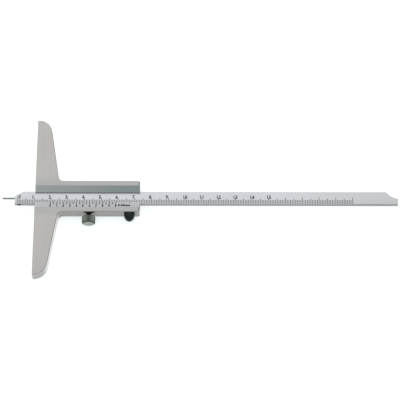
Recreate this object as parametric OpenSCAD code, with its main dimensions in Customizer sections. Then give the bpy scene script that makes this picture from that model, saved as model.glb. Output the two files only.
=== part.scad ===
// Vernier depth gauge with a pin tip.
// Millimetres. The origin is the centre of the measuring face, on the axis of the rail.
// +X runs along the rail away from the work, +Y along the bridge, and +Z out of the scale side.

/* [Bridge] */
// Length of the bridge, tip to tip
bridge_len = 100; // [80:1:150]
// Thickness of the bridge and the slider
body_t = 8; // [7:0.1:10]
// Depth of an arm where it leaves the slider
arm_root_d = 14; // [12:0.1:18]
// Depth of an arm carried on straight to its tip
arm_tip_d = 7.6; // [6:0.1:10]
// Radius of the rounded outer corner of an arm
arm_tip_r = 8.5; // [4:0.1:9]
// Radius of the hollow corner between an arm and the slider
arm_root_r = 3; // [1:0.1:6]

/* [Slider] */
// Length of the slider, from the measuring face
slider_len = 62.5; // [55:0.5:80]
// Width of the slider
slider_w = 20; // [19:0.5:26]
// Radius of the two corners at the slider's free end
slider_corner_r = 1.2; // [0.8:0.1:2]
// Width of the flat land above the rail
land_w = 3.1; // [2:0.1:4]
// Height of the lip's edge over the rail
lip_edge_t = 0.8; // [0.4:0.1:1]
// How far the lip covers the rail
lip_cover = 1; // [0.5:0.1:1.5]
// Width of the chamfers that break the long edges
edge_w = 0.3; // [0.2:0.05:0.8]
// Depth of the chamfers that break the long edges
edge_d = 0.25; // [0.15:0.05:0.6]
// Width of the chamfer across the free end
end_w = 0.6; // [0.3:0.05:0.9]
// Depth of the chamfer across the free end
end_d = 0.5; // [0.3:0.05:0.8]

/* [Vernier] */
// Width of the vernier plate
vernier_w = 4.1; // [3.5:0.05:6]
// Distance of the vernier plate's fine edge from the rail's axis
vernier_edge_y = 3; // [1:0.05:3.5]
// Thickness of the vernier plate at its fine edge
vernier_edge_t = 0.6; // [0.3:0.1:1]
// Thread diameter of the screws that hold the vernier plate
vernier_screw_d = 1.6; // [1.2:0.1:2]

/* [Rail] */
// Length of the rail
rail_len = 228.8; // [150:0.1:330]
// Width of the rail
rail_w = 8; // [7:0.5:8]
// Thickness of the rail
rail_t = 3; // [2.5:0.1:3.5]
// Width of the broken edges along the rail
rail_edge = 0.2; // [0.1:0.05:0.3]
// Radius of the hollow cut at the rail's free end
rail_hollow_r = 10; // [6:0.5:30]
// Sliding clearance between the rail and its channel
slide_gap = 0.05; // [0.02:0.01:0.1]
// Reading that the gauge is set to
reading = 19.8; // [0:0.05:180]

/* [Measuring pin] */
// Diameter of the measuring pin
pin_d = 1.2; // [1:0.1:1.5]
// Length of the pin that stands out of the rail
pin_out = 7.5; // [4:0.1:12]
// Diameter of the shank that is held in the rail
pin_shank_d = 1.6; // [1.5:0.1:2]
// Length of the shank that is held in the rail
pin_held = 9; // [6:0.5:15]

/* [Lock screw] */
// Distance of the lock screw from the measuring face
lock_x = 32.1; // [28:0.1:36]
// Diameter of the knurled head
lock_head_d = 7.9; // [6:0.1:7.9]
// Length of the knurled head
lock_head_len = 4.6; // [3:0.1:8]
// Gap between the knurled head and the slider
lock_gap = 1.65; // [0.5:0.05:3]
// Number of knurl grooves round the head
lock_knurls = 36; // [24:1:48]
// Thread diameter of the lock screw
lock_thread_d = 3; // [2.5:0.5:3]

/* [Drag screw] */
// Distance of the drag screw from the measuring face
drag_x = 56.3; // [54:0.1:58]
// Diameter of the domed head
drag_head_d = 6.6; // [5:0.1:7]
// Height of the domed head
drag_h = 4.65; // [3:0.05:6]
// Width across the flats of its hexagon socket
drag_socket_w = 1.5; // [1.3:0.1:2]

/* [Hidden] */

$fn = 64;
eps = 0.01;
over = 1;

body_z = body_t / 2;
slider_y = slider_w / 2;
rail_y = rail_w / 2;
rail_z = rail_t / 2;
channel_z = rail_z + slide_gap;

// The back edge of an arm leans by this angle from square to the rail.
arm_reach = bridge_len / 2 - slider_y;
arm_lean = atan((arm_root_d - arm_tip_d) / arm_reach);
tip_y = bridge_len / 2 - arm_tip_r;
tip_x = arm_back_x(tip_y) - arm_tip_r / cos(arm_lean);
root_y = slider_y + arm_root_r;
root_x = arm_back_x(root_y) + arm_root_r / cos(arm_lean);

// Centre of the rounded corner at the slider's free end.
corner = [slider_len - slider_corner_r, slider_y - slider_corner_r];

// The front of the slider is cut away between the lands, down to the rail.
bevel_y = slider_y - land_w;
lip_y = rail_y - lip_cover;
lip_z = channel_z + lip_edge_t;
vernier_out_y = -vernier_edge_y - vernier_w;
chamfer_past = 4;

// The gib is a bowed strip between the rail's lower edge and the channel's wall.
gib_t = 0.25;
gib_w = 2.8;
gib_len = 54;
gib_bow = 0.4;
gib_steps = 18;
gib_room = 0.75;
gib_wall_y = -rail_y - gib_room;

// The pin's tip and the vernier's zero line lie equally far from their zero lines.
rail_x = -reading + pin_out;
pin_grip_x = 2.7;
seat_gap = 0.02;
pin_hole_d = pin_shank_d + 2 * seat_gap;
pin_lead = [0.15, 0.2];
set_screw_d = 2;
set_screw_len = 2.6;
set_slot_w = 0.4;
set_slot_d = 0.7;

// The rail's ends are cut back along its upper edge, straight at the pin and hollow at the free end.
left_cut = [5, 2.9];
right_cut = [7, 4.3];

thread_gap = 0.05;
pad_d = 2.4;
pad_len = 1;
pad_gap = 0.1;
pad_back_y = gib_wall_y + gib_bow - pad_gap - pad_len;
lock_hole_d = lock_thread_d + 2 * thread_gap;
lock_chamfer = [0.9, 0.42];
lock_back_chamfer = 0.5;
knurl_depth = 0.28;
knurl_cut = knurl_depth * sqrt(2);

drag_thread_d = 2.5;
drag_hole_d = drag_thread_d + 2 * thread_gap;
drag_rim_h = 0.5;
drag_dome_steps = 12;
drag_socket_h = 1.2;

vernier_screw_y = -6.2;
vernier_screw_at = [8, 23, 46];
vernier_screw_head_d = 3;
vernier_screw_head_h = 0.8;
vernier_screw_grip = 1.2;
vernier_screw_slot = [0.4, 0.35];
vernier_hole_d = vernier_screw_d + 2 * thread_gap;

function arm_back_x(y) = arm_root_d - (y - slider_y) * tan(arm_lean);
function along(at, r, turn) = at + r * [cos(turn), sin(turn)];
function gib_y(t) = gib_wall_y + gib_bow * (1 - t * t);

// Extrudes a profile drawn in the plane of Y and Z along the rail.
module along_rail(from, to) {
    translate([from, 0, 0]) rotate([90, 0, 90]) linear_extrude(to - from) children();
}

// Turns a profile of radius and height about an axis that points out of the slider's lower wall.
module turned_out(at_x, wall_y) {
    translate([at_x, wall_y, 0]) rotate([90, 0, 0]) rotate_extrude() children();
}

// One arm with its rounded tip and the hollow corner that leads into the slider.
module arm() {
    back_top = along([tip_x, tip_y], arm_tip_r, arm_lean);
    back_low = along([root_x, root_y], -arm_root_r, arm_lean);
    intersection() {
        union() {
            linear_extrude(body_t) polygon([
                [0, -over], [0, bridge_len / 2], [tip_x, bridge_len / 2], back_top,
                back_low, [back_low[0], -over]
            ]);
            translate([tip_x, tip_y, 0]) cylinder(r = arm_tip_r, h = body_t);
        }
        translate([0, -over, 0]) cube([arm_root_d * 2, bridge_len, body_t]);
    }
    difference() {
        linear_extrude(body_t)
            polygon([back_low, [root_x, root_y], [root_x, 0], [back_low[0] - over, 0]]);
        translate([root_x, root_y, -over]) cylinder(r = arm_root_r, h = body_t + 2 * over);
    }
}

// The slider, with two rounded corners at its free end.
module slider() {
    square_len = slider_len - slider_corner_r;
    translate([0, -slider_y, 0]) cube([square_len, slider_w, body_t]);
    translate([0, -corner[1], 0]) cube([slider_len, 2 * corner[1], body_t]);
    for (side = [-1, 1]) translate([corner[0], side * corner[1], 0]) cylinder(r = slider_corner_r, h = body_t);
}

module body_blank() {
    translate([0, 0, -body_z]) {
        for (side = [0, 1]) mirror([0, side, 0]) arm();
        slider();
    }
}

// Everything in front of the rail and the rail's own channel, as one profile.
module channel_profile() {
    polygon([
        [bevel_y, body_z + over], [bevel_y, body_z], [lip_y, lip_z], [lip_y, channel_z],
        [rail_y + slide_gap, channel_z], [rail_y + slide_gap, -channel_z],
        [gib_wall_y, -channel_z], [gib_wall_y, channel_z],
        [vernier_out_y, channel_z], [vernier_out_y, body_z + over]
    ]);
}

// The corner that a chamfer takes off, drawn with the solid on its left.
module chamfer_profile(w = edge_w, d = edge_d) {
    polygon([[-w, body_z], [over, body_z - d - over * d / w], [over, body_z + over], [-w, body_z + over]]);
}

module straight_chamfer(from, to, past = 0, w = edge_w, d = edge_d) {
    run = to - from;
    translate([from[0], from[1], 0]) rotate([0, 0, atan2(run[1], run[0])])
        rotate([90, 0, 90]) linear_extrude(norm(run) + past) mirror([1, 0]) chamfer_profile(w, d);
}

// The straight cuts run on past a round corner, and the hollow corner's cut runs on past its ends,
// so that no sliver is left where they meet.
module edge_chamfers() {
    tip = [tip_x, tip_y];
    root = [root_x, root_y];
    sweep = 90 - arm_lean;
    straight_chamfer(along(root, -arm_root_r, arm_lean), along(tip, arm_tip_r, arm_lean), over);
    translate([tip_x, tip_y, 0]) rotate([0, 0, arm_lean])
        rotate_extrude(angle = sweep + chamfer_past) translate([arm_tip_r, 0]) chamfer_profile();
    translate([root_x, root_y, 0]) rotate([0, 0, 180 + arm_lean - chamfer_past])
        rotate_extrude(angle = sweep + 2 * chamfer_past)
            translate([arm_root_r, 0]) mirror([1, 0]) chamfer_profile();
    straight_chamfer([corner[0], slider_y], [root_x, slider_y]);
    translate([corner[0], corner[1], 0]) rotate_extrude(angle = 90)
        translate([slider_corner_r, 0]) chamfer_profile();
}

// The chamfer across the slider's free end. It is wider than the others and fades out at both corners.
module end_chamfer() {
    straight_chamfer([slider_len, -slider_y - over], [slider_len, slider_y + over], w = end_w, d = end_d);
}

// A hole from the slider's lower wall through to the gib.
module tapped_hole(at_x, hole_d) {
    translate([at_x, gib_wall_y + over, 0]) rotate([90, 0, 0]) cylinder(d = hole_d, h = slider_w);
}

module bridge_body() {
    color("lightgray") difference() {
        body_blank();
        along_rail(-over, slider_len + over) channel_profile();
        for (back = [0, 1]) mirror([0, 0, back]) {
            for (side = [0, 1]) mirror([0, side, 0]) edge_chamfers();
            end_chamfer();
        }
        tapped_hole(lock_x, lock_hole_d);
        tapped_hole(drag_x, drag_hole_d);
        for (x = vernier_screw_at) translate([x, vernier_screw_y, -body_z]) {
            translate([0, 0, -over]) cylinder(d = vernier_hole_d, h = body_t);
            translate([0, 0, -eps])
                cylinder(d1 = vernier_screw_head_d, d2 = vernier_hole_d, h = vernier_screw_head_h);
        }
    }
}

module vernier_plate() {
    color("gainsboro") difference() {
        along_rail(0, slider_len) polygon([
            [-vernier_edge_y, channel_z], [-vernier_edge_y, channel_z + vernier_edge_t],
            [vernier_out_y, body_z], [vernier_out_y, channel_z]
        ]);
        end_chamfer();
        for (x = vernier_screw_at) translate([x, vernier_screw_y, channel_z - over])
            cylinder(d = vernier_screw_d + 2 * seat_gap, h = vernier_screw_grip + seat_gap + over);
    }
}

module vernier_screw() {
    shank_len = body_z + channel_z + vernier_screw_grip;
    difference() {
        union() {
            cylinder(d = vernier_screw_d, h = shank_len);
            cylinder(d1 = vernier_screw_head_d, d2 = vernier_screw_d, h = vernier_screw_head_h);
        }
        translate([-vernier_screw_head_d, -vernier_screw_slot[0] / 2, -over])
            cube([2 * vernier_screw_head_d, vernier_screw_slot[0], over + vernier_screw_slot[1]]);
    }
}

module vernier_screws() {
    color("dimgray") for (x = vernier_screw_at) translate([x, vernier_screw_y, -body_z]) vernier_screw();
}

module gib_spring() {
    inner = [for (i = [0 : gib_steps]) let (t = 2 * i / gib_steps - 1)
        [lock_x + t * gib_len / 2, gib_y(t) + gib_t]];
    outer = [for (i = [gib_steps : -1 : 0]) let (t = 2 * i / gib_steps - 1)
        [lock_x + t * gib_len / 2, gib_y(t)]];
    color("darkgoldenrod") translate([0, 0, -gib_w / 2]) linear_extrude(gib_w) polygon(concat(inner, outer));
}

module rail_outline() {
    polygon([
        [0, -rail_y], [0, rail_y - left_cut[1]], [left_cut[0], rail_y],
        [rail_len, rail_y], [rail_len, -rail_y]
    ]);
}

// The round tool that hollows the rail's free end. Its edge passes through both ends of the cut.
module rail_hollow() {
    reach = norm(right_cut) / 2;
    out = sqrt(rail_hollow_r * rail_hollow_r - reach * reach);
    middle = [rail_len - right_cut[0] / 2, rail_y - right_cut[1] / 2];
    centre = along(middle, out, 90 - atan2(right_cut[1], right_cut[0]));
    translate([centre[0], centre[1], -rail_t]) cylinder(r = rail_hollow_r, h = 2 * rail_t);
}

// The rail's cross section with its long edges broken.
module rail_section() {
    y = rail_y - rail_edge;
    z = rail_z - rail_edge;
    polygon([
        [-rail_y, -z], [-y, -rail_z], [y, -rail_z], [rail_y, -z],
        [rail_y, z], [y, rail_z], [-y, rail_z], [-rail_y, z]
    ]);
}

module rail() {
    color("silver") translate([rail_x, 0, 0]) difference() {
        intersection() {
            translate([0, 0, -rail_t]) linear_extrude(2 * rail_t) rail_outline();
            along_rail(-over, rail_len + over) rail_section();
        }
        rail_hollow();
        translate([-over, 0, 0]) rotate([0, 90, 0]) cylinder(d = pin_hole_d, h = pin_held + seat_gap + over);
        translate([pin_grip_x, 0, 0]) rotate([90, 0, 0])
            cylinder(d = set_screw_d + 2 * seat_gap, h = rail_w);
    }
}

// The pin steps up to a thicker shank inside the rail.
module measuring_pin() {
    tip_r = pin_d / 2;
    shank_r = pin_shank_d / 2;
    color("darkgray") translate([-reading, 0, 0]) rotate([0, 90, 0]) rotate_extrude() polygon([
        [0, 0], [tip_r - pin_lead[0], 0], [tip_r, pin_lead[1]], [tip_r, pin_out],
        [shank_r, pin_out], [shank_r, pin_out + pin_held], [0, pin_out + pin_held]
    ]);
}

module pin_set_screw() {
    color("dimgray") translate([rail_x + pin_grip_x, -pin_hole_d / 2, 0]) rotate([90, 0, 0]) difference() {
        cylinder(d = set_screw_d, h = set_screw_len);
        translate([-set_screw_d, -set_slot_w / 2, set_screw_len - set_slot_d])
            cube([2 * set_screw_d, set_slot_w, set_slot_d + over]);
    }
}

module lock_pad() {
    color("goldenrod") translate([lock_x, pad_back_y, 0]) rotate([-90, 0, 0]) cylinder(d = pad_d, h = pad_len);
}

module lock_screw() {
    head_r = lock_head_d / 2;
    shank_r = lock_thread_d / 2;
    wall = -slider_y;
    tip = wall - pad_back_y;
    end = lock_gap + lock_head_len;
    color("silver") difference() {
        turned_out(lock_x, wall) polygon([
            [0, tip], [shank_r, tip], [shank_r, lock_gap],
            [head_r - lock_back_chamfer, lock_gap], [head_r, lock_gap + lock_back_chamfer],
            [head_r, end - lock_chamfer[1]], [head_r - lock_chamfer[0], end], [0, end]
        ]);
        for (i = [0 : lock_knurls - 1]) translate([lock_x, wall - lock_gap + over, 0])
            rotate([90, 360 * i / lock_knurls, 0]) translate([head_r - knurl_depth, 0, 0])
                rotate([0, 0, -45]) cube([knurl_cut, knurl_cut, lock_head_len + 2 * over]);
    }
}

// A domed head with a short straight rim, and a hexagon socket in its crown.
module drag_screw() {
    dome = [for (i = [0 : drag_dome_steps]) let (turn = 90 * i / drag_dome_steps)
        [drag_head_d / 2 * cos(turn), drag_rim_h + (drag_h - drag_rim_h) * sin(turn)]];
    nose = -slider_y - gib_wall_y;
    thread_r = drag_thread_d / 2;
    color([0.13, 0.15, 0.14]) difference() {
        turned_out(drag_x, -slider_y)
            polygon(concat([[0, nose], [thread_r, nose], [thread_r, 0], [drag_head_d / 2, 0]], dome));
        translate([drag_x, -slider_y - drag_h + drag_socket_h, 0]) rotate([90, 0, 0])
            cylinder(d = drag_socket_w / cos(30), h = drag_socket_h + over, $fn = 6);
    }
}

bridge_body();
vernier_plate();
vernier_screws();
gib_spring();
rail();
measuring_pin();
pin_set_screw();
lock_pad();
lock_screw();
drag_screw();
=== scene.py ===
import math

import bmesh
import bpy
from mathutils import Matrix, Vector


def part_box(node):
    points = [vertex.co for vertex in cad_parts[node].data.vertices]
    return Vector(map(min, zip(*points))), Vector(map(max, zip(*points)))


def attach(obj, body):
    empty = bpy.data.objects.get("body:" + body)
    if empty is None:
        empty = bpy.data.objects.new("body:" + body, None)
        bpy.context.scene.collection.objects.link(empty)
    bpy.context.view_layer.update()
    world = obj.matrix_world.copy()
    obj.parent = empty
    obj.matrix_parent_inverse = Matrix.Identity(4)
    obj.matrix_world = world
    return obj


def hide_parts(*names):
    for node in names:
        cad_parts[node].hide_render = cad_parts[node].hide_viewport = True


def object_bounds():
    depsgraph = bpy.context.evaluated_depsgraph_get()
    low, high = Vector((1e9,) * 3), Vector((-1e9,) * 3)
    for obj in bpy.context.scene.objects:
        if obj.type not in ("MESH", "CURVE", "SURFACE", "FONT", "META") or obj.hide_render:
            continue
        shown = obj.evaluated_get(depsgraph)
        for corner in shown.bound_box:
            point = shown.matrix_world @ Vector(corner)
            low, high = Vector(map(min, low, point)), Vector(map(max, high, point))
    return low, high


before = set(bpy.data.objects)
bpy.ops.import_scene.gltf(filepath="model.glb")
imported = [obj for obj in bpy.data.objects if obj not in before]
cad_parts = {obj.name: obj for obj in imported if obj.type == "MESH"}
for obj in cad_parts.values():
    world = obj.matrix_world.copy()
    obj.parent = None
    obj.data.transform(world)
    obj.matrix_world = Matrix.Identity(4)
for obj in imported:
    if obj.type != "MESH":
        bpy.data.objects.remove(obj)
cad_low, cad_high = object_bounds()

MM = 0.001

# The photograph's view, fitted to the scale's lines and the bridge's corners.
PHOTO_PX = 400
FOCAL_PX = 1765
SENSOR_MM = 36
VIEW_DISTANCE = 1055 * MM
VIEW_ELEVATION = 66.82
VIEW_AZIMUTH = -0.765
VIEW_ROLL = -0.604
LOOK_AT = (98.35 * MM, -0.76 * MM, 0)

# Both scales. The zero line of the vernier lies this far from the measuring face.
VERNIER_ZERO = 9.2 * MM
VERNIER_EDGE_T = 0.6 * MM
VERNIER_DIVISIONS = 20
VERNIER_PITCH = 1.95 * MM
RAIL_LAST_LINE = 200
RAIL_LAST_FIGURE = 15
MARK_PROUD = 0.008 * MM
MARK_DEEP = 0.05 * MM

# How far each kind of line on the rail reaches up from the rail's lower edge.
RAIL_LINE_W = 0.35 * MM
RAIL_CM_TOP = 0.2 * MM
RAIL_HALF_TOP = -0.4 * MM
RAIL_MM_TOP = -1.28 * MM
RAIL_LINE_FOOT = 0.3 * MM
RAIL_FIGURE_H = 2.35 * MM
RAIL_FIGURE_Y = 0.45 * MM
RAIL_FIGURE_LEFT = 0.9 * MM
RAIL_ZERO_RIGHT = 1.15 * MM

# Lines and figures on the vernier, measured down its slope from the fine edge.
VERNIER_LINE_W = 0.45 * MM
VERNIER_LONG = 2.4 * MM
VERNIER_SHORT = 2.1 * MM
VERNIER_LINE_START = 0.03 * MM
VERNIER_FIGURE_H = 1.75 * MM
VERNIER_FIGURE_AT = 3.44 * MM
VERNIER_LABEL = "0.05mm"
VERNIER_LABEL_H = 1.75 * MM
VERNIER_LABEL_AT = (53.2 * MM, 2.85 * MM)
FIGURE_NARROW = 0.86
LABEL_NARROW = 1.0
FIGURE_SPACING = 1.15
FIGURE_BOLD = 0.042
VERNIER_BOLD = 0.09

# The lock screw: a fine thread and a head with straight knurling.
LOCK_THREAD_D = 3 * MM
LOCK_PITCH = 0.5 * MM
LOCK_THREAD_DEPTH = 0.3 * MM
LOCK_POINT = 0.3 * MM
LOCK_HEAD_LEN = 4.6 * MM
LOCK_KNURLS = 36
LOCK_KNURL_DEPTH = 0.24 * MM
LOCK_LAND = 0.04 * MM
LOCK_END_CHAMFER = (0.9 * MM, 0.42 * MM)
LOCK_BACK_CHAMFER = (0.5 * MM, 0.5 * MM)
THREAD_SIDES = 32
STEPS_PER_PITCH = 6
ON_KNURLING, ON_END, ON_CHAMFERS = range(3)

# How deep the grain of each finish is.
GRINDING_DEPTH = 0.004 * MM
SATIN_DEPTH = 0.006 * MM
BLACK_DEPTH = 0.005 * MM

# Colours have one tone, or two with a mask between them. A coat is a share and a colour.
# The dark colour of painted shade in corners, joints and the set screw's hole.
PAINTED_SHADE_TONE = (0.055, 0.06, 0.055, 1)
# The dark colour of painted shade on chamfers that face up and toward the far end.
EDGE_SHADE_TONE = (0.14, 0.14, 0.135, 1)

# The body: its ground faces; painted reflection on its bevels, lighter at the work side and darker
# toward the slider's far end; painted darker sheen on the slider's lands; painted shade on the slider's
# lapped sides; and painted light and shade on the other sides, lighter where they face along the rail
# and darker on the arms' ends.
STEEL = ((0.385, 0.343, 0.332, 1), (0.465, 0.413, 0.399, 1))
STEEL_BEVEL_REFLECTION = ((0.55, 0.51, 0.50, 1), (0.30, 0.315, 0.325, 1))
STEEL_BEVEL_REFLECTION_SHARE = 0.5
STEEL_SIDE_LIGHT_SHADE = ((0.69, 0.65, 0.635, 1), (0.40, 0.372, 0.362, 1))
STEEL_SIDE_LIGHT_SHADE_SHARE = 0.9
STEEL_EDGE_SHADE = (0.35, EDGE_SHADE_TONE)
STEEL_LAND_SHEEN = (0.22, (0.24, 0.265, 0.255, 1))
STEEL_LAPPED_SHADE = (0.55, (0.20, 0.20, 0.195, 1))
STEEL_ROUGH = 0.27
# The arms' grinding takes over between these distances from the vernier plate's lower edge.
ARM_START = (3 * MM, 6 * MM)

# The rail and the vernier: their faces, the painted highlight on their bevels, painted shade on their
# sides, chamfers, corners and set screw hole, and the end of the rail that is handled.
CHROME = ((0.585, 0.543, 0.563, 1), (0.665, 0.619, 0.640, 1))
CHROME_INK_FILM = (0.1, (0.25, 0.25, 0.25, 1))
CHROME_BEVEL_HIGHLIGHT = (0.4, (0.78, 0.75, 0.77, 1))
CHROME_EDGE_SHADE = (0.8, EDGE_SHADE_TONE)
CHROME_HANDLED = (0.55, (0.50, 0.47, 0.45, 1))
CHROME_SIDE_SHADE = (0.85, (0.285, 0.28, 0.265, 1))
# Share and colour of the painted shade in the rail's corners and joints.
CHROME_CORNER_SHADE = (0.7, PAINTED_SHADE_TONE)
CHROME_ROUGH = 0.36
HANDLED_LENGTH = 70 * MM
# The painted shade on the set screw's hole wall fades out between these distances beyond the screw's
# radius.
HOLE_SHADE_RIM = (0.12 * MM, 0.05 * MM)

# Colours of the smaller pieces, each from dark to bright.
SCREW_STEEL = ((0.025, 0.025, 0.025, 1), (0.07, 0.07, 0.068, 1))
PIN_STEEL = ((0.26, 0.24, 0.215, 1), (0.36, 0.335, 0.305, 1))
BRONZE = ((0.42, 0.27, 0.10, 1), (0.58, 0.40, 0.17, 1))
BRASS = ((0.56, 0.38, 0.13, 1), (0.70, 0.51, 0.22, 1))
# The knurling, painted darker than the turned end as the shade of its grooves.
KNURLED_SHADED = ((0.12, 0.128, 0.112, 1), (0.21, 0.217, 0.197, 1))
TURNED = ((0.27, 0.257, 0.238, 1), (0.35, 0.335, 0.312, 1))
# A near-black copy of the turned steel: painted shade on the lock screw's chamfers, thread and back
# face.
TURNED_PAINTED_SHADE = ((0.03, 0.033, 0.03, 1), (0.075, 0.08, 0.07, 1))
BLACKENED = ((0.006, 0.010, 0.008, 1), (0.07, 0.08, 0.07, 1))
INK = ((0.012, 0.013, 0.014, 1), (0.05, 0.052, 0.055, 1))
# Share and colour of the painted shade in the corners and grooves of turned parts.
TURNED_CORNER_SHADE = (0.8, PAINTED_SHADE_TONE)
BLACK_ROUGH = 0.12
INK_ROUGH = 0.45

# The white board under the gauge, the room and the one soft box.
FLOOR_SIZE = 30
FLOOR_TONE = (0.8, 0.8, 0.8, 1)
FLOOR_GLOW = 0.62
FLOOR_GAP = 0.02 * MM
ROOM_LOW = (0.19, 0.21, 0.21, 1)
ROOM_HIGH = (0.60, 0.73, 0.755, 1)
ROOM_PALE_FROM = 0.62
BOX_PLACE = (0.09, 0.69, 0.90)
BOX_AIM = (0.09, 0, 0)
BOX_SIZE = (1.7, 1.34)
BOX_POWER = 4.5
BOX_TONE = (1.0, 0.955, 0.925)


def smooth_by_angle(part, degrees=32):
    """Shades a part's round faces smooth and keeps its corners sharp."""
    mesh = part.data
    mesh.shade_smooth()
    mesh.set_sharp_from_angle(angle=math.radians(degrees))


class Wiring:
    """Adds nodes to one node tree and links them."""

    def __init__(self, tree):
        self.tree = tree

    def node(self, kind, feeds=None, **settings):
        """A node with its settings, and each named input fed by a socket or set to a value."""
        made = self.tree.nodes.new(kind)
        for name, value in settings.items():
            setattr(made, name, value)
        for name, value in (feeds or {}).items():
            self.feed(made.inputs[name], value)
        return made

    def feed(self, socket, value):
        if isinstance(value, bpy.types.NodeSocket):
            self.tree.links.new(value, socket)
        else:
            socket.default_value = value

    def maths(self, operation, *values, clamp=False):
        """The result of one arithmetic step."""
        feeds = dict(enumerate(values))
        return self.node("ShaderNodeMath", feeds, operation=operation, use_clamp=clamp).outputs[0]

    def plus(self, first, second, clamp=False):
        return self.maths("ADD", first, second, clamp=clamp)

    def minus(self, first, second, clamp=False):
        return self.maths("SUBTRACT", first, second, clamp=clamp)

    def times(self, first, second):
        return self.maths("MULTIPLY", first, second)

    def larger(self, first, second):
        return self.maths("MAXIMUM", first, second)

    def unsigned(self, value):
        """A value without its sign."""
        return self.maths("ABSOLUTE", value)

    def axes(self, vector):
        """A vector's three parts, as X, Y and Z."""
        return self.node("ShaderNodeSeparateXYZ", {0: vector}).outputs

    def vector(self, operation, *values):
        """The node of one step with vectors."""
        return self.node("ShaderNodeVectorMath", dict(enumerate(values)), operation=operation)

    def ease(self, value, low, high, to_low=0.0, to_high=1.0):
        """A smooth step from to_low to to_high while value goes from low to high."""
        feeds = {"Value": value, "From Min": low, "From Max": high, "To Min": to_low, "To Max": to_high}
        return self.node("ShaderNodeMapRange", feeds, interpolation_type="SMOOTHSTEP").outputs[0]

    def blend(self, share, first, second):
        """One colour turning into another."""
        made = self.node("ShaderNodeMix", data_type="RGBA")
        for name, value in (("Factor_Float", share), ("A_Color", first), ("B_Color", second)):
            self.feed(next(s for s in made.inputs if s.identifier == name), value)
        return made.outputs[2]

    def coat(self, colour, mask, share, over):
        """A colour with another one laid over it by a share, where the mask is."""
        return self.blend(self.times(mask, share), colour, over)

    def stretch(self, place, lines_per_metre):
        """A position scaled along each axis, so that a noise drawn with it becomes lines."""
        return self.vector("MULTIPLY", place, lines_per_metre).outputs[0]

    def noise(self, place, scale=1.0, detail=2.0, rough=0.5):
        feeds = {"Vector": place, "Scale": scale, "Detail": detail, "Roughness": rough}
        return self.node("ShaderNodeTexNoise", feeds).outputs["Fac"]

    def group(self, tree, **feeds):
        """A placed group. Its inputs are named in lower case with underscores."""
        made = self.node("ShaderNodeGroup", node_tree=tree)
        for name, value in feeds.items():
            self.feed(made.inputs[name.replace("_", " ").capitalize()], value)
        return made


def new_group(name, inputs, outputs):
    """An empty shader group with its sockets, its wiring and its two end nodes."""
    tree = bpy.data.node_groups.new(name, "ShaderNodeTree")
    for label, kind, value in inputs:
        socket = tree.interface.new_socket(label, in_out="INPUT", socket_type="NodeSocket" + kind)
        socket.default_value = value
    for label, kind in outputs:
        tree.interface.new_socket(label, in_out="OUTPUT", socket_type="NodeSocket" + kind)
    wiring = Wiring(tree)
    return wiring, wiring.node("NodeGroupInput").outputs, wiring.node("NodeGroupOutput").inputs


def grinding_group():
    """Fine straight grinding lines, with wider soft streaks among them."""
    wiring, given, result = new_group(
        "grinding lines",
        [("Place", "Vector", (0, 0, 0)), ("Lines per metre", "Vector", (1, 1, 1))],
        [("Lines", "Float"), ("Streaks", "Float")])
    fine = wiring.stretch(given["Place"], given["Lines per metre"])
    wiring.feed(result["Lines"], wiring.noise(fine, 1.0, 4.0, 0.65))
    wiring.feed(result["Streaks"], wiring.noise(fine, 0.13, 2.0, 0.5))
    return wiring.tree


def worn_edge_group():
    """A mask along the edges where they are rubbed bright, and a normal that rounds them."""
    wiring, given, result = new_group(
        "worn edges",
        [("Place", "Vector", (0, 0, 0)), ("Radius", "Float", 0.2 * MM),
         ("Patches per metre", "Float", 400.0)],
        [("Wear", "Float"), ("Normal", "Vector")])
    rounded = wiring.node("ShaderNodeBevel", {"Radius": given["Radius"]}, samples=4).outputs[0]
    flat = wiring.node("ShaderNodeNewGeometry").outputs["Normal"]
    facing = wiring.vector("DOT_PRODUCT", rounded, flat).outputs["Value"]
    edge = wiring.ease(facing, 0.99, 0.86)
    patches = wiring.ease(wiring.noise(given["Place"], given["Patches per metre"], 3.0), 0.3, 0.62)
    wiring.feed(result["Wear"], wiring.times(edge, patches))
    wiring.feed(result["Normal"], rounded)
    return wiring.tree


def handling_group():
    """Faint hairline scratches and rubbed patches from years of use."""
    wiring, given, result = new_group(
        "handling marks",
        [("Place", "Vector", (0, 0, 0)), ("Scratches per metre", "Float", 260.0)],
        [("Scratches", "Float"), ("Rubbed", "Float")])
    bent = wiring.noise(given["Place"], given["Scratches per metre"], 1.5, 0.4)
    ridge = wiring.unsigned(wiring.minus(bent, 0.5))
    hairline = wiring.ease(ridge, 0.006, 0.001)
    sparse = wiring.ease(wiring.noise(given["Place"], 95.0, 2.0), 0.52, 0.62)
    wiring.feed(result["Scratches"], wiring.times(hairline, sparse))
    wiring.feed(result["Rubbed"], wiring.ease(wiring.noise(given["Place"], 60.0, 3.0), 0.35, 0.7))
    return wiring.tree


def grime_group():
    """A mask of painted shade in joints, corners and recesses, by occlusion, left off faces that point
    down.
    """
    wiring, given, result = new_group(
        "painted corner shade",
        [("Place", "Vector", (0, 0, 0)), ("Reach", "Float", 0.5 * MM)],
        [("Corner shade", "Float")])
    sky = wiring.node("ShaderNodeAmbientOcclusion", {"Distance": given["Reach"]}, samples=6)
    uneven = wiring.ease(wiring.noise(given["Place"], 700.0, 2.0), 0.3, 0.7, 0.75, 1.0)
    height = wiring.axes(wiring.node("ShaderNodeTexCoord").outputs["Normal"])["Z"]
    uneven = wiring.times(uneven, wiring.ease(height, -0.98, -0.85))
    wiring.feed(result["Corner shade"], wiring.times(wiring.ease(sky.outputs["AO"], 0.72, 0.25), uneven))
    return wiring.tree


def satin_group():
    """The even fine grain of a blasted and plated surface."""
    wiring, given, result = new_group(
        "satin grain",
        [("Place", "Vector", (0, 0, 0)), ("Grains per metre", "Float", 9000.0)],
        [("Grain", "Float")])
    grain = wiring.noise(given["Place"], given["Grains per metre"], 3.0, 0.7)
    wiring.feed(result["Grain"], grain)
    return wiring.tree


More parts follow.
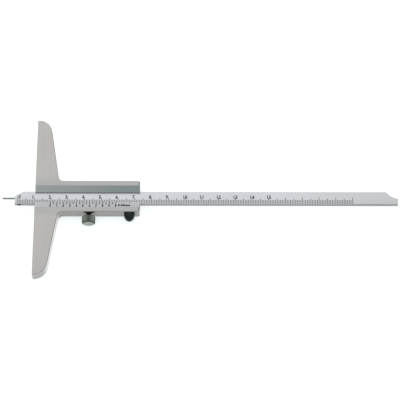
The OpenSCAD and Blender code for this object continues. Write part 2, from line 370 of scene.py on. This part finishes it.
def facing_group():
    """Masks of a part's faces by the way they face in the gauge's own frame."""
    masks = ("Sides", "Flats", "Work side", "Ends", "Shaded edge")
    wiring, given, result = new_group(
        "faces by direction", [("Place", "Vector", (0, 0, 0))], [(mask, "Float") for mask in masks])
    facing = wiring.axes(wiring.node("ShaderNodeTexCoord").outputs["Normal"])
    upward = wiring.unsigned(facing["Z"])
    wiring.feed(result["Sides"], wiring.ease(upward, 0.7, 0.4))
    wiring.feed(result["Flats"], wiring.ease(upward, 0.95, 0.985))
    wiring.feed(result["Work side"], wiring.ease(facing["X"], -0.7, -0.95))
    wiring.feed(result["Ends"], wiring.ease(wiring.unsigned(facing["Y"]), 0.3, 0.75))
    # Chamfers facing up and toward the far end, on the near side: the mask of a painted shade.
    free_edge = wiring.times(
        wiring.ease(facing["X"], 0.35, 0.5), wiring.ease(facing["Z"], 0.35, 0.5))
    level = wiring.axes(given["Place"])["Y"]
    wiring.feed(result["Shaded edge"], wiring.times(free_edge, wiring.ease(level, 0, -3 * MM)))
    return wiring.tree


GRINDING = grinding_group()
WORN_EDGES = worn_edge_group()
HANDLING = handling_group()
SATIN = satin_group()
FACES = facing_group()
CORNER_SHADE_GROUP = grime_group()


def blank_material(name):
    """A material without nodes, and its wiring."""
    material = bpy.data.materials.new(name)
    material.use_nodes = True
    material.node_tree.nodes.clear()
    return material, Wiring(material.node_tree)


def new_material(name):
    """A material, its wiring, its shader's inputs and the part's own position."""
    material, wiring = blank_material(name)
    shader = wiring.node("ShaderNodeBsdfPrincipled")
    wiring.node("ShaderNodeOutputMaterial", {"Surface": shader.outputs[0]})
    place = wiring.node("ShaderNodeTexCoord").outputs["Object"]
    return material, wiring, shader.inputs, place


def finish_surface(wiring, surface, colour, rough, relief, depth, edges):
    """Feeds a surface's colour, polish and relief to its shader, over its rounded edges."""
    wiring.feed(surface["Base Color"], colour)
    wiring.feed(surface["Roughness"], rough)
    feeds = {"Height": relief, "Distance": depth, "Normal": edges.outputs["Normal"], "Strength": 1.0}
    wiring.feed(surface["Normal"], wiring.node("ShaderNodeBump", feeds).outputs[0])


def finish_metal(wiring, surface, *finish):
    """The same for bare metal."""
    finish_surface(wiring, surface, *finish)
    surface["Metallic"].default_value = 1.0


def body_grinding(wiring, place, on_arm):
    """Lines and streaks that run along the bridge on its arms, and along the rail between them."""
    slider = wiring.group(GRINDING, place=place, lines_per_metre=(90, 5200, 5200)).outputs
    arms = wiring.group(GRINDING, place=place, lines_per_metre=(5200, 110, 5200)).outputs
    feeds = [{0: on_arm, 2: slider[mask], 3: arms[mask]} for mask in ("Lines", "Streaks")]
    return [wiring.node("ShaderNodeMix", each).outputs[0] for each in feeds]


def sloping_faces(wiring, faces):
    """A mask of the bevels, which are neither flat nor upright."""
    return wiring.minus(wiring.minus(1.0, faces["Flats"]), faces["Sides"], clamp=True)


def ground_steel():
    """Fine ground steel for the body: arms, slider, lip, lands and sides, with painted reflection,
    sheen, light and shade.
    """
    material, wiring, surface, place = new_material("ground_steel")
    plate_low, plate_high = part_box("vernier_plate")
    spot = wiring.axes(place)
    near, far = ARM_START
    on_arm = wiring.ease(wiring.unsigned(spot["Y"]), near - plate_low.y, far - plate_low.y)
    on_slider = wiring.minus(1.0, on_arm)
    lines, streaks = body_grinding(wiring, place, on_arm)
    edges = wiring.group(WORN_EDGES, place=place, radius=0.18 * MM)
    marks = wiring.group(HANDLING, place=place)
    faces = wiring.group(FACES, place=place).outputs
    # The slider's sides other than its work side: lapped smooth, and painted with shade in their
    # colour.
    lapped_shaded_sides = wiring.times(
        faces["Sides"], wiring.minus(on_slider, faces["Work side"], clamp=True))
    # The other sides: the arms' sides and the slider's work side.
    other_sides = wiring.minus(faces["Sides"], lapped_shaded_sides, clamp=True)

    rough = wiring.plus(STEEL_ROUGH, wiring.times(lines, 0.12))
    rough = wiring.minus(rough, wiring.times(marks.outputs["Rubbed"], 0.04))
    rough = wiring.minus(rough, wiring.times(lapped_shaded_sides, 0.25))
    relief = wiring.minus(lines, wiring.times(marks.outputs["Scratches"], 0.5))
    relief = wiring.times(relief, wiring.minus(1.0, wiring.times(lapped_shaded_sides, 0.95)))

    tone = wiring.plus(wiring.times(streaks, 0.7), wiring.times(lines, 0.3))
    tone = wiring.plus(tone, wiring.times(edges.outputs["Wear"], 0.5), clamp=True)
    colour = wiring.blend(tone, *STEEL)
    # Painted reflection on the bevels: lighter at the work side, darker toward the slider's far end.
    bevel_reflection = wiring.blend(wiring.ease(spot["X"], 0, plate_high.x), *STEEL_BEVEL_REFLECTION)
    colour = wiring.coat(colour, sloping_faces(wiring, faces), STEEL_BEVEL_REFLECTION_SHARE, bevel_reflection)
    # Painted shade on the chamfers that face up and toward the far end.
    colour = wiring.coat(colour, faces["Shaded edge"], *STEEL_EDGE_SHADE)
    # Painted darker sheen on the slider's lands, where the grinding runs along the rail.
    colour = wiring.coat(colour, wiring.times(faces["Flats"], on_slider), *STEEL_LAND_SHEEN)
    # Painted shade on the slider's lapped sides.
    colour = wiring.coat(colour, lapped_shaded_sides, *STEEL_LAPPED_SHADE)
    # Painted light and shade on the other sides: lighter where they face along the rail, darker on the
    # arms' ends.
    side_light_shade = wiring.blend(faces["Ends"], *STEEL_SIDE_LIGHT_SHADE)
    colour = wiring.coat(colour, other_sides, STEEL_SIDE_LIGHT_SHADE_SHARE, side_light_shade)
    # Painted shade in corners and joints, from the occlusion mask.
    colour = wiring.blend(wiring.group(CORNER_SHADE_GROUP, place=place).outputs["Corner shade"], colour, PAINTED_SHADE_TONE)
    finish_metal(wiring, surface, colour, rough, relief, GRINDING_DEPTH, edges)
    return material


def handled_end(wiring, spot):
    """A mask of the rail's free end, which is held most and has dulled."""
    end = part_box("rail")[1].x
    return wiring.ease(spot["X"], end - HANDLED_LENGTH, end)


def oily_hole(wiring, place):
    """A mask of the wall of the set screw's hole, painted dark as the shade in the hole."""
    low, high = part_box("pin_set_screw")
    from_screw = wiring.vector("SUBTRACT", place, (low + high) / 2).outputs[0]
    across = wiring.stretch(from_screw, (1, 0, 1))
    distance = wiring.vector("LENGTH", across).outputs["Value"]
    radius = (high.x - low.x) / 2
    outside, inside = HOLE_SHADE_RIM
    return wiring.ease(distance, radius + outside, radius + inside)


def ink_film(wiring, spot):
    """A mask of the rail's front below its lines' tops, where a film of ink has stayed."""
    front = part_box("rail")[1].z
    below = wiring.ease(spot["Y"], RAIL_MM_TOP + 0.2 * MM, RAIL_MM_TOP - 0.2 * MM)
    on_rail = wiring.ease(spot["Z"], front + 0.3 * MM, front + 0.1 * MM)
    return wiring.times(below, on_rail)


def satin_chrome():
    """Cool matt chrome on the rail and the vernier, with a fine grain, a painted highlight and painted
    shade.
    """
    material, wiring, surface, place = new_material("satin_chrome")
    spot = wiring.axes(place)
    grain = wiring.group(SATIN, place=place).outputs["Grain"]
    brushed = wiring.group(GRINDING, place=place, lines_per_metre=(70, 4200, 4200))
    edges = wiring.group(WORN_EDGES, place=place, radius=0.12 * MM)
    marks = wiring.group(HANDLING, place=place, scratches_per_metre=340.0)
    faces = wiring.group(FACES, place=place).outputs

    rough = wiring.plus(CHROME_ROUGH, wiring.times(grain, 0.14))
    relief = wiring.minus(grain, wiring.times(marks.outputs["Scratches"], 0.6))

    tone = wiring.plus(wiring.times(grain, 0.35), wiring.times(brushed.outputs["Streaks"], 0.45))
    tone = wiring.plus(tone, wiring.times(marks.outputs["Rubbed"], 0.2))
    tone = wiring.plus(tone, wiring.times(edges.outputs["Wear"], 0.4), clamp=True)
    colour = wiring.blend(tone, *CHROME)
    colour = wiring.coat(colour, ink_film(wiring, spot), *CHROME_INK_FILM)
    # Painted highlight: the bevels are lightened.
    colour = wiring.coat(colour, sloping_faces(wiring, faces), *CHROME_BEVEL_HIGHLIGHT)
    # Painted shade on the chamfers that face up and toward the far end.
    colour = wiring.coat(colour, faces["Shaded edge"], *CHROME_EDGE_SHADE)
    colour = wiring.coat(colour, handled_end(wiring, spot), *CHROME_HANDLED)
    # Painted shade on the upright sides.
    colour = wiring.coat(colour, faces["Sides"], *CHROME_SIDE_SHADE)
    # Painted shade on the wall of the set screw's hole.
    colour = wiring.blend(oily_hole(wiring, place), colour, PAINTED_SHADE_TONE)
    # Painted shade in corners and joints, from the occlusion mask.
    corner_shade = wiring.group(CORNER_SHADE_GROUP, place=place, reach=0.35 * MM).outputs["Corner shade"]
    colour = wiring.coat(colour, corner_shade, *CHROME_CORNER_SHADE)
    finish_metal(wiring, surface, colour, rough, relief, SATIN_DEPTH, edges)
    return material


def turned_metal(name, tones, polish, axis_lines):
    """Turned or drawn metal, with fine rings round it or lines along it, and painted shade in its
    corners.
    """
    material, wiring, surface, place = new_material(name)
    cut = wiring.group(GRINDING, place=place, lines_per_metre=axis_lines)
    edges = wiring.group(WORN_EDGES, place=place, radius=0.08 * MM, patches_per_metre=900.0)
    tone = wiring.plus(cut.outputs["Lines"], wiring.times(edges.outputs["Wear"], 0.6), clamp=True)
    rough = wiring.plus(polish, wiring.times(cut.outputs["Streaks"], 0.12))
    colour = wiring.blend(tone, *tones)
    # Painted shade in corners and grooves, from the occlusion mask.
    corner_shade = wiring.group(CORNER_SHADE_GROUP, place=place, reach=0.3 * MM).outputs["Corner shade"]
    colour = wiring.coat(colour, corner_shade, *TURNED_CORNER_SHADE)
    finish_metal(wiring, surface, colour, rough, cut.outputs["Lines"], GRINDING_DEPTH, edges)
    return material


def black_finish():
    """Blackened steel, half gloss, a little lighter where it is rubbed."""
    material, wiring, surface, place = new_material("black_finish")
    edges = wiring.group(WORN_EDGES, place=place, radius=0.15 * MM, patches_per_metre=1100.0)
    grain = wiring.group(SATIN, place=place, grains_per_metre=7000.0).outputs["Grain"]
    colour = wiring.blend(wiring.times(edges.outputs["Wear"], 0.35), *BLACKENED)
    rough = wiring.plus(BLACK_ROUGH, wiring.times(grain, 0.16))
    finish_surface(wiring, surface, colour, rough, grain, BLACK_DEPTH, edges)
    surface["Specular IOR Level"].default_value = 0.3
    return material


def scale_ink():
    """Black fill in the engraved lines and figures, slightly uneven."""
    material, wiring, surface, place = new_material("scale_ink")
    grain = wiring.group(SATIN, place=place, grains_per_metre=5200.0).outputs["Grain"]
    wiring.feed(surface["Base Color"], wiring.blend(grain, *INK))
    wiring.feed(surface["Roughness"], wiring.plus(INK_ROUGH, wiring.times(grain, 0.2)))
    return material


def dress_cad_nodes(knurled):
    """Gives every node of the frame its finish."""
    steel = ground_steel()
    chrome = satin_chrome()
    dull_steel = turned_metal("screw_steel", SCREW_STEEL, 0.3, (5000, 5000, 400))
    finishes = {
        "bridge_body": steel,
        "vernier_plate": chrome,
        "rail": chrome,
        "vernier_screws": dull_steel,
        "pin_set_screw": dull_steel,
        "measuring_pin": turned_metal("pin_steel", PIN_STEEL, 0.22, (5200, 300, 300)),
        "gib_spring": turned_metal("spring_bronze", BRONZE, 0.34, (90, 6000, 6000)),
        "lock_pad": turned_metal("pad_brass", BRASS, 0.30, (400, 6000, 400)),
        "lock_screw": knurled,
        "drag_screw": black_finish(),
    }
    for name, material in finishes.items():
        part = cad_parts[name]
        part.data.materials.clear()
        part.data.materials.append(material)
        smooth_by_angle(part)


def lathe(mesh, axis_at, turns, stations, radius, slots):
    """A closed solid round a line along Y. radius(turn, y) gives its surface.

    slots are the finishes of its first face, of each band, and of its last face.
    """
    rings = []
    for y in stations:
        ring = []
        for turn in turns:
            reach = radius(turn, y)
            x = axis_at.x + reach * math.sin(turn)
            z = axis_at.z + reach * math.cos(turn)
            ring.append(mesh.verts.new((x, y, z)))
        rings.append(ring)
    count = len(turns)
    for near, far, slot in zip(rings, rings[1:], slots[1:]):
        for i in range(count):
            j = (i + 1) % count
            mesh.faces.new((near[i], near[j], far[j], far[i])).material_index = slot
    mesh.faces.new(rings[0]).material_index = slots[0]
    mesh.faces.new(reversed(rings[-1])).material_index = slots[-1]


def add_lock_thread(mesh, axis_at, start, tip):
    """A right-handed thread from inside the head to the pointed tip."""
    steps = round((tip - start) / LOCK_PITCH * STEPS_PER_PITCH)
    stations = [start + (tip - start) * i / steps for i in range(steps + 1)]

    def radius(turn, y):
        place = (y / LOCK_PITCH - turn / math.tau) % 1
        crest = 1 - abs(2 * place - 1)
        point = LOCK_THREAD_D / 2 - max(0, y - tip + LOCK_POINT)
        return min(point, LOCK_THREAD_D / 2 - LOCK_THREAD_DEPTH * (1 - crest))

    turns = [math.tau * i / THREAD_SIDES for i in range(THREAD_SIDES)]
    lathe(mesh, axis_at, turns, stations, radius, [ON_CHAMFERS] * (steps + 2))


def add_knurled_head(mesh, axis_at, radius_out, end, back):
    """The head: straight grooves cut into a turned blank with a chamfer at each end."""
    pitch = math.tau / LOCK_KNURLS
    land = LOCK_LAND / radius_out
    corners = (-land / 2, land / 2, pitch / 2)
    turns = [pitch * i + corner for i in range(LOCK_KNURLS) for corner in corners]
    deep = radius_out - LOCK_KNURL_DEPTH

    def blank(y):
        at_end = radius_out - LOCK_END_CHAMFER[0] * max(0, 1 - (y - end) / LOCK_END_CHAMFER[1])
        at_back = radius_out - LOCK_BACK_CHAMFER[0] * max(0, 1 - (back - y) / LOCK_BACK_CHAMFER[1])
        return min(at_end, at_back)

    def radius(turn, y):
        in_groove = abs(turn / pitch % 1 - 0.5) < 0.25
        return min(blank(y), deep if in_groove else radius_out)

    share_end = LOCK_KNURL_DEPTH / LOCK_END_CHAMFER[0]
    share_back = LOCK_KNURL_DEPTH / LOCK_BACK_CHAMFER[0]
    stations = [end]
    stations += [end + LOCK_END_CHAMFER[1] * (1 - share_end * part) for part in (1, 0.5, 0)]
    stations += [back - LOCK_BACK_CHAMFER[1] * (1 - share_back * part) for part in (0, 0.5, 1)]
    stations += [back]
    chamfer = [ON_CHAMFERS] * 3
    slots = [ON_END, *chamfer, ON_KNURLING, *chamfer, ON_CHAMFERS]
    lathe(mesh, axis_at, turns, stations, radius, slots)


def add_lock_screw(finishes):
    """The lock screw with its real thread and knurling, in place of the plain solid."""
    low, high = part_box("lock_screw")
    axis_at = (low + high) / 2
    back = low.y + LOCK_HEAD_LEN
    mesh = bmesh.new()
    add_knurled_head(mesh, axis_at, (high.x - low.x) / 2, low.y, back)
    add_lock_thread(mesh, axis_at, back - LOCK_PITCH / 2, high.y)
    bmesh.ops.recalc_face_normals(mesh, faces=mesh.faces)
    data = bpy.data.meshes.new("knurled_lock_screw")
    mesh.to_mesh(data)
    mesh.free()
    for finish in finishes:
        data.materials.append(finish)
    piece = bpy.data.objects.new("knurled_lock_screw", data)
    bpy.context.scene.collection.objects.link(piece)
    smooth_by_angle(piece, 20)
    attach(piece, "lock_screw")
    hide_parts("lock_screw")


def surface_frame(origin, along, up):
    """The matrix of a face whose x runs along, y runs up and z stands out of the face."""
    out = along.cross(up).normalized()
    face = Matrix((along.normalized(), up.normalized(), out)).transposed().to_4x4()
    face.translation = origin
    return face


def add_bar(mesh, face, left, right, low, high):
    """A flat bar let into a face, standing just proud of it."""
    centre = Vector(((left + right) / 2, (low + high) / 2, (MARK_PROUD - MARK_DEEP) / 2))
    size = Vector((right - left, high - low, MARK_PROUD + MARK_DEEP))
    matrix = face @ Matrix.Translation(centre) @ Matrix.Diagonal(size).to_4x4()
    bmesh.ops.create_cube(mesh, size=1, matrix=matrix)


def figure_mesh(text, height, bold, narrow):
    """A word or number as a flat solid, centred on x and on its height."""
    curve = bpy.data.curves.new("figure", "FONT")
    curve.body = text
    curve.offset = bold
    curve.space_character = FIGURE_SPACING
    curve.align_x = "CENTER"
    curve.resolution_u = 4
    curve.extrude = 0.5
    holder = bpy.data.objects.new("figure", curve)
    bpy.context.scene.collection.objects.link(holder)
    bpy.context.view_layer.update()
    mesh = bpy.data.meshes.new_from_object(holder)
    bpy.data.objects.remove(holder)
    tops = [v.co.y for v in mesh.vertices]
    scale = height / (max(tops) - min(tops))
    middle = (max(tops) + min(tops)) / 2
    depth = MARK_PROUD + MARK_DEEP
    for v in mesh.vertices:
        sunk = v.co.z * depth - MARK_DEEP + depth / 2
        v.co = Vector((v.co.x * scale * narrow, (v.co.y - middle) * scale, sunk))
    return mesh


def add_figure(mesh, face, text, height, x, y, bold=FIGURE_BOLD, narrow=FIGURE_NARROW):
    flat = figure_mesh(text, height, bold, narrow)
    flat.transform(face @ Matrix.Translation((x, y, 0)))
    mesh.from_mesh(flat)
    bpy.data.meshes.remove(flat)


def finish_marks(mesh, name, body, material):
    """Turns a mesh of marks into a piece that rides on a body."""
    bmesh.ops.remove_doubles(mesh, verts=mesh.verts, dist=1e-7)
    bmesh.ops.recalc_face_normals(mesh, faces=mesh.faces)
    data = bpy.data.meshes.new(name)
    mesh.to_mesh(data)
    mesh.free()
    piece = bpy.data.objects.new(name, data)
    bpy.context.scene.collection.objects.link(piece)
    data.materials.append(material)
    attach(piece, body)


def rail_face():
    """The rail's front, with x counted from its zero line and y from its axis."""
    low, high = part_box("rail")
    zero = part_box("measuring_pin")[0].x + VERNIER_ZERO
    origin = Vector((zero, (low.y + high.y) / 2, high.z))
    return surface_frame(origin, Vector((1, 0, 0)), Vector((0, 1, 0)))


def vernier_face():
    """The vernier's slope, with x counted from the measuring face and y running up to the fine edge."""
    low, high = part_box("vernier_plate")
    fine_edge = Vector((0, high.y, low.z + VERNIER_EDGE_T))
    foot = Vector((0, low.y, high.z))
    return surface_frame(fine_edge, Vector((1, 0, 0)), fine_edge - foot)


def line_top(mark):
    """How high a line of the rail reaches: whole and half centimetres stand out."""
    if mark % 10 == 0:
        return RAIL_CM_TOP
    return RAIL_HALF_TOP if mark % 5 == 0 else RAIL_MM_TOP


def add_rail_scale(ink):
    """The rail's millimetre lines, and a figure beside each whole centimetre."""
    face = rail_face()
    low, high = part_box("rail")
    foot = RAIL_LINE_FOOT - (high.y - low.y) / 2
    lines = bmesh.new()
    for mark in range(RAIL_LAST_LINE + 1):
        x = mark * MM
        add_bar(lines, face, x - RAIL_LINE_W / 2, x + RAIL_LINE_W / 2, foot, line_top(mark))
    finish_marks(lines, "rail_graduations", "rail", ink)
    figures = bmesh.new()
    for number in range(RAIL_LAST_FIGURE + 1):
        beside = -RAIL_FIGURE_LEFT if number < 10 else 0
        if number == 0:
            beside = RAIL_ZERO_RIGHT
        add_figure(figures, face, str(number), RAIL_FIGURE_H, 10 * number * MM + beside, RAIL_FIGURE_Y)
    finish_marks(figures, "rail_figures", "rail", ink)


def add_vernier_scale(ink):
    """The vernier's lines and figures on its slope, and the value of one division."""
    face = vernier_face()
    lines = bmesh.new()
    figures = bmesh.new()
    for mark in range(VERNIER_DIVISIONS + 1):
        x = VERNIER_ZERO + mark * VERNIER_PITCH
        length = VERNIER_SHORT if mark % 2 else VERNIER_LONG
        left, right = x - VERNIER_LINE_W / 2, x + VERNIER_LINE_W / 2
        add_bar(lines, face, left, right, -length, -VERNIER_LINE_START)
        if mark % 2 == 0:
            figure = str(mark // 2 % 10)
            add_figure(figures, face, figure, VERNIER_FIGURE_H, x, -VERNIER_FIGURE_AT, VERNIER_BOLD)
    x, down = VERNIER_LABEL_AT
    add_figure(
        figures, face, VERNIER_LABEL, VERNIER_LABEL_H, x, -down, VERNIER_BOLD, LABEL_NARROW)
    finish_marks(lines, "vernier_graduations", "slider", ink)
    finish_marks(figures, "vernier_figures", "slider", ink)


def add_camera():
    """The photograph's camera."""
    elevation = math.radians(VIEW_ELEVATION)
    azimuth = math.radians(VIEW_AZIMUTH)
    roll = math.radians(VIEW_ROLL)
    level = math.cos(elevation)
    ahead = Vector((level * math.sin(azimuth), level * math.cos(azimuth), -math.sin(elevation)))
    right = ahead.cross(Vector((0, 0, 1))).normalized()
    up = right.cross(ahead)
    sideways = right * math.cos(roll) + up * math.sin(roll)
    upright = up * math.cos(roll) - right * math.sin(roll)
    data = bpy.data.cameras.new("camera")
    data.sensor_width = SENSOR_MM
    data.lens = FOCAL_PX * SENSOR_MM / PHOTO_PX
    data.clip_start = 0.01
    data.clip_end = 100
    camera = bpy.data.objects.new("camera", data)
    pose = Matrix((sideways, upright, -ahead)).transposed().to_4x4()
    pose.translation = Vector(LOOK_AT) - ahead * VIEW_DISTANCE
    camera.matrix_world = pose
    bpy.context.scene.collection.objects.link(camera)
    bpy.context.scene.camera = camera


def floor_material():
    """White board, clear from below. Part of its white is its own glow, to keep a soft shadow."""
    material, wiring = blank_material("white_board")
    board = wiring.node("ShaderNodeBsdfDiffuse", {"Color": FLOOR_TONE})
    rays = wiring.node("ShaderNodeLightPath").outputs
    seen = wiring.larger(rays["Is Camera Ray"], rays["Is Glossy Ray"])
    seen = wiring.larger(seen, rays["Is Transmission Ray"])
    glow = wiring.node("ShaderNodeEmission", {"Strength": wiring.times(seen, FLOOR_GLOW)})
    both = wiring.node("ShaderNodeAddShader", {0: board.outputs[0], 1: glow.outputs[0]})
    clear = wiring.node("ShaderNodeBsdfTransparent")
    from_below = wiring.node("ShaderNodeNewGeometry").outputs["Backfacing"]
    one_sided = wiring.node(
        "ShaderNodeMixShader", {0: from_below, 1: both.outputs[0], 2: clear.outputs[0]})
    wiring.node("ShaderNodeOutputMaterial", {"Surface": one_sided.outputs[0]})
    return material


def add_floor():
    """The board that the gauge lies on, which is no piece of it."""
    mesh = bmesh.new()
    bmesh.ops.create_grid(mesh, x_segments=1, y_segments=1, size=FLOOR_SIZE / 2)
    data = bpy.data.meshes.new("floor")
    mesh.to_mesh(data)
    mesh.free()
    floor = bpy.data.objects.new("floor", data)
    floor.location = (0, 0, cad_low.z - FLOOR_GAP)
    data.materials.append(floor_material())
    bpy.context.scene.collection.objects.link(floor)


def add_soft_box():
    """One large rectangular light, above the gauge and beyond it."""
    data = bpy.data.lights.new("top_box", "AREA")
    data.shape = "RECTANGLE"
    data.size, data.size_y = BOX_SIZE
    data.energy = BOX_POWER
    data.color = BOX_TONE
    light = bpy.data.objects.new("top_box", data)
    light.location = BOX_PLACE
    light.rotation_euler = (Vector(BOX_AIM) - Vector(BOX_PLACE)).to_track_quat("-Z", "Y").to_euler()
    bpy.context.scene.collection.objects.link(light)


def add_room():
    """A plain room: dark at the horizon and pale overhead."""
    world = bpy.data.worlds.new("room")
    world.use_nodes = True
    wiring = Wiring(world.node_tree)
    ahead = wiring.node("ShaderNodeTexCoord").outputs["Generated"]
    height = wiring.axes(ahead)["Z"]
    tone = wiring.blend(wiring.ease(height, 0.0, ROOM_PALE_FROM), ROOM_LOW, ROOM_HIGH)
    wiring.feed(world.node_tree.nodes["Background"].inputs["Color"], tone)
    bpy.context.scene.world = world


# The knurled steel is a darker copy of the turned steel: painted shade in the knurling.
knurled_steel = turned_metal("knurled_steel", KNURLED_SHADED, 0.08, (500, 5200, 500))
turned_end = turned_metal("turned_end", TURNED, 0.22, (5200, 500, 5200))
# Painted shade on the lock screw's chamfers, thread and back face.
shaded_turned = turned_metal("shaded_turned", TURNED_PAINTED_SHADE, 0.22, (5200, 500, 5200))
dress_cad_nodes(knurled_steel)
add_lock_screw((knurled_steel, turned_end, shaded_turned))
marks_ink = scale_ink()
add_rail_scale(marks_ink)
add_vernier_scale(marks_ink)
add_floor()
add_room()
add_soft_box()
add_camera()
bpy.context.scene.view_settings.view_transform = "Standard"
